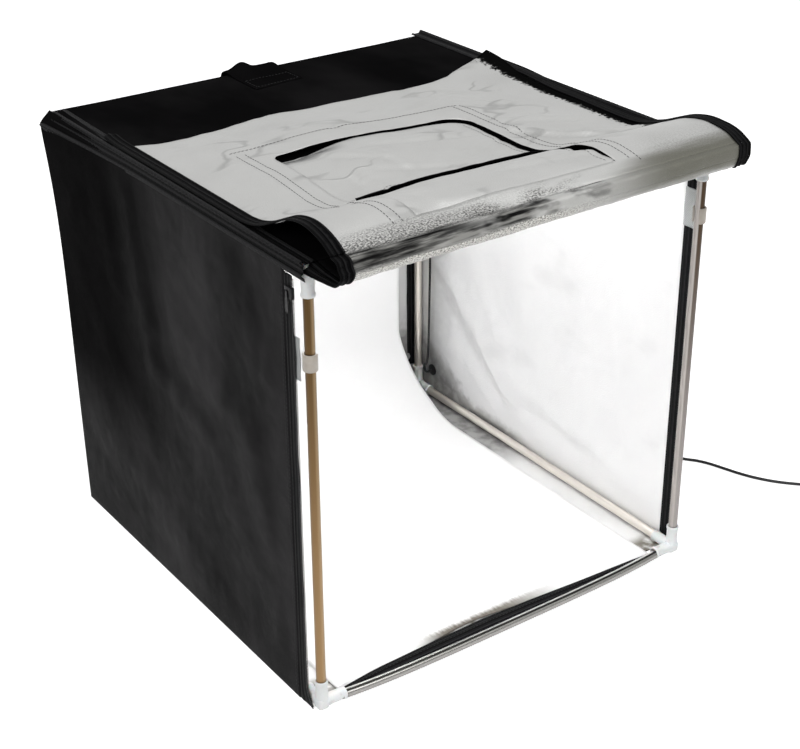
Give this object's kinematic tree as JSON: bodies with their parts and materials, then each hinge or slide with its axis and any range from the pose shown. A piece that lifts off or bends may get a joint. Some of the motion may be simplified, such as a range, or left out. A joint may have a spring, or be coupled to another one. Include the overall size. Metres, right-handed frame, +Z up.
{
  "type": "light tent cube",
  "caption": "Cube-shaped light tent with a plug-together tube frame, black cover with crinkled silver lining, open front door thrown over the roof, and a white sweep backdrop.",
  "frame": {"origin": "middle of the frame on the underside of the floor panel", "axes": "+Z up, -Y out of the open front, +X to the right as seen from the front"},
  "size_m": [0.6636, 0.4682, 0.4254],
  "materials": {
    "white_plastic": "moulded, slightly shiny",
    "tube_steel": "plated, shiny",
    "grey_webbing": "woven",
    "black_cloth": "woven, soft sheen",
    "black_tape": "woven zip tape and webbing",
    "white_backdrop": "matt",
    "black_rubber": "satin cord sheath",
    "silver_lining": "crinkled metallic lining",
    "zip_metal": "black, glossy",
    "bar_aluminium": "anodised",
    "light_board": "white circuit board",
    "diffuser": "frosted"
  },
  "bodies": {
    "tent": {"post_front_left": "tube_steel", "post_front_right": "tube_steel", "post_rear_left": "tube_steel", "post_rear_right": "tube_steel", "rail_bottom_front": "tube_steel", "rail_bottom_rear": "tube_steel", "rail_bottom_left": "tube_steel", "rail_bottom_right": "tube_steel", "rail_top_front": "tube_steel", "rail_top_rear": "tube_steel", "rail_top_left": "tube_steel", "rail_top_right": "tube_steel", "corner_bottom_front_left": "white_plastic", "corner_bottom_front_right": "white_plastic", "corner_bottom_rear_left": "white_plastic", "corner_bottom_rear_right": "white_plastic", "corner_top_front_left": "white_plastic", "corner_top_front_right": "white_plastic", "corner_top_rear_left": "white_plastic", "corner_top_rear_right": "white_plastic", "post_clip_left": "white_plastic", "post_clip_right": "white_plastic", "clip_tab_left": "grey_webbing", "clip_tab_right": "grey_webbing", "left_wall": "black_cloth", "right_wall": "black_cloth", "rear_wall": "black_cloth", "roof_panel": "black_cloth", "floor_panel": "black_cloth", "left_wall_zip_tape": "black_tape", "right_wall_zip_tape": "black_tape", "floor_zip_tape": "black_tape", "roof_binding_left": "black_tape", "roof_binding_right": "black_tape", "carry_handle": "black_tape", "backdrop": "white_backdrop", "backdrop_sleeve": "white_backdrop", "light_lead": "black_rubber", "cord_grommet": "black_rubber", "power_cord": "black_rubber", "cord_coil": "black_rubber", "cord_tie": "black_tape", "cord_plug": "black_rubber"},
    "door_fold": {"door_top_fold": "silver_lining"},
    "door_roll": {"door_roll": "silver_lining"},
    "door": {"front_door": "silver_lining", "door_zip_tape_left": "black_tape", "door_zip_tape_right": "black_tape"},
    "window_cover_rear": {"window_cover_rear": "silver_lining"},
    "window_cover_front": {"window_cover_front": "silver_lining"},
    "left_slider": {"left_zip_slider": "zip_metal"},
    "left_pull": {"left_zip_pull": "zip_metal"},
    "right_slider": {"right_zip_slider": "zip_metal"},
    "right_pull": {"right_zip_pull": "zip_metal"},
    "front_light": {"light_bar_front": "bar_aluminium", "light_strip_front": "light_board", "light_diffuser_front": "diffuser"},
    "rear_light": {"light_bar_rear": "bar_aluminium", "light_strip_rear": "light_board", "light_diffuser_rear": "diffuser"}
  },
  "joints": [
    {"name": "door_fold", "type": "hinge", "parent": "tent", "child": "door_fold", "pos_m": [0, -0.2063, 0.3966], "axis": [1, 0, 0], "range_deg": [0, 61.3]},
    {"name": "door_roll_turn", "type": "hinge", "parent": "door_fold", "child": "door_roll", "pos_m": [0, -0.237, 0.394], "axis": [1, 0, 0], "range_deg": [0, 100], "deforming": ["door_roll"]},
    {"name": "door_swing", "type": "hinge", "parent": "door_roll", "child": "door", "pos_m": [0, -0.24, 0.413], "axis": [1, 0, 0], "range_deg": [0, 113.7]},
    {"name": "rear_cover_lift", "type": "hinge", "parent": "door", "child": "window_cover_rear", "pos_m": [-0.118, -0.091, 0.40715], "axis": [0, -1, 0], "range_deg": [0, 110]},
    {"name": "front_cover_lift", "type": "hinge", "parent": "door", "child": "window_cover_front", "pos_m": [-0.118, -0.189, 0.42524], "axis": [0, -1, 0], "range_deg": [0, 110]},
    {"name": "left_zip_travel", "type": "slide", "parent": "tent", "child": "left_slider", "axis": [0, 0, -1], "range_m": [0, 0.345]},
    {"name": "left_pull_swing", "type": "hinge", "parent": "left_slider", "child": "left_pull", "pos_m": [-0.2034, -0.18605, 0.371], "axis": [0, 1, 0], "range_deg": [0, 105]},
    {"name": "right_zip_travel", "type": "slide", "parent": "tent", "child": "right_slider", "axis": [0, 0, -1], "range_m": [0, 0.345]},
    {"name": "right_pull_swing", "type": "hinge", "parent": "right_slider", "child": "right_pull", "pos_m": [0.2034, -0.18605, 0.371], "axis": [0, -1, 0], "range_deg": [0, 105]},
    {"name": "front_light_travel", "type": "slide", "parent": "tent", "child": "front_light", "axis": [0, 1, 0], "range_m": [-0.03, 0.1], "deforming": ["light_lead"]},
    {"name": "rear_light_travel", "type": "slide", "parent": "tent", "child": "rear_light", "axis": [0, 1, 0], "range_m": [-0.03, 0.12], "deforming": ["light_lead"]}
  ],
  "couplings": [
    {"joint": "door_fold", "follows": "door_swing", "ratio": 0.53826},
    {"joint": "door_roll_turn", "follows": "door_swing", "ratio": 0.87863}
  ]
}
